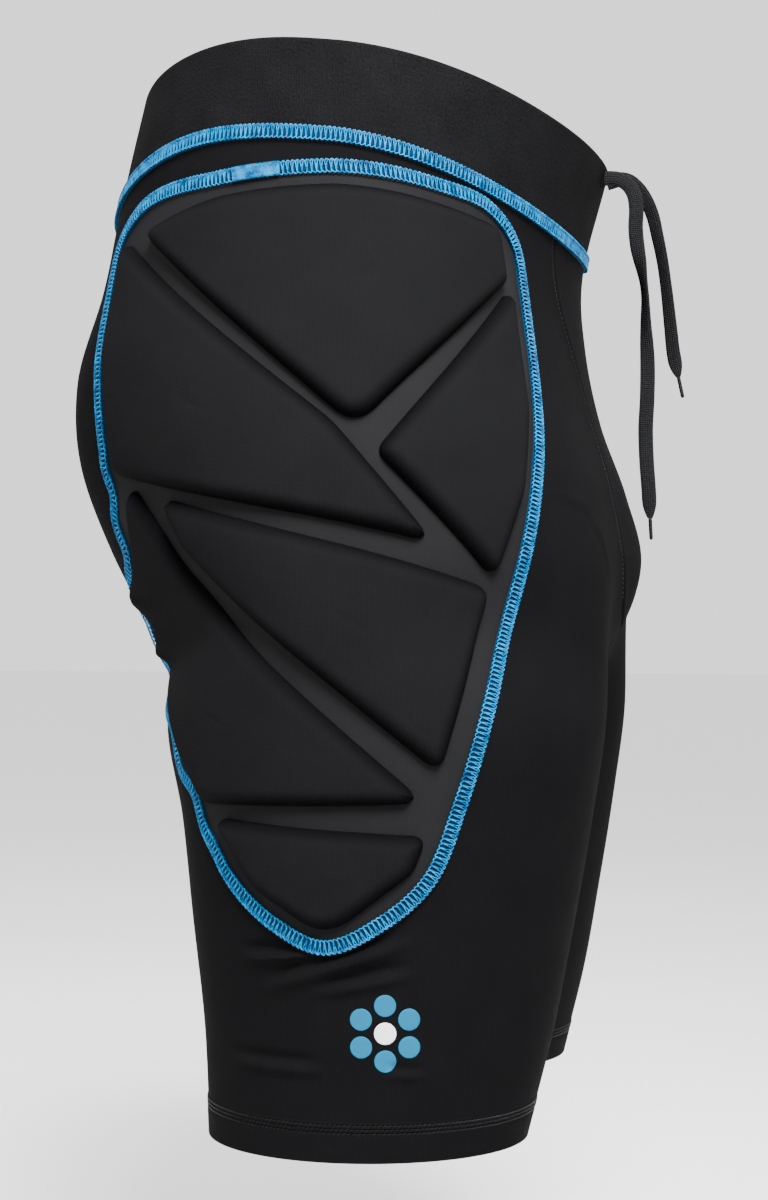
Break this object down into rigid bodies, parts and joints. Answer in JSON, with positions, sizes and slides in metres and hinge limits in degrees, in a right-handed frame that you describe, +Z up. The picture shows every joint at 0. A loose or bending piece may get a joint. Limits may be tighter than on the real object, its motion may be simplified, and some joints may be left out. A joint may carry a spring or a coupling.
{
  "type": "padded compression shorts",
  "caption": "Close-fitting thigh-length shorts with raised foam cells on both hips and thighs, a wide waistband and a flat drawstring.",
  "frame": {"origin": "centre of the waist opening, level with the top of the waistband at the sides", "axes": "+Z up, -Y the wearer's front, -X the wearer's right side"},
  "size_m": [0.3576, 0.2797, 0.4761],
  "materials": {
    "body_fabric": "matte stretch knit",
    "band_fabric": "fine woven elastic",
    "pad_fabric": "brushed knit over foam",
    "seam_thread": "looped flat seam thread",
    "lace_braid": "flat braided lace",
    "aglet_plastic": "smooth"
  },
  "bodies": {
    "root": {"body_right": "body_fabric", "body_left": "body_fabric", "front_panel": "body_fabric", "waistband": "band_fabric", "waist_seam": "seam_thread", "pad_base_right": "pad_fabric", "pad_seam_right": "seam_thread", "pad_cell_right_1": "pad_fabric", "pad_cell_right_2": "pad_fabric", "pad_cell_right_3": "pad_fabric", "pad_cell_right_4": "pad_fabric", "pad_cell_right_5": "pad_fabric", "pad_cell_right_6": "pad_fabric", "pad_base_left": "pad_fabric", "pad_seam_left": "seam_thread", "pad_cell_left_1": "pad_fabric", "pad_cell_left_2": "pad_fabric", "pad_cell_left_3": "pad_fabric", "pad_cell_left_4": "pad_fabric", "pad_cell_left_5": "pad_fabric", "pad_cell_left_6": "pad_fabric", "lace_long": "lace_braid", "lace_short": "lace_braid", "aglet_long": "aglet_plastic", "aglet_short": "aglet_plastic"}
  },
  "joints": []
}
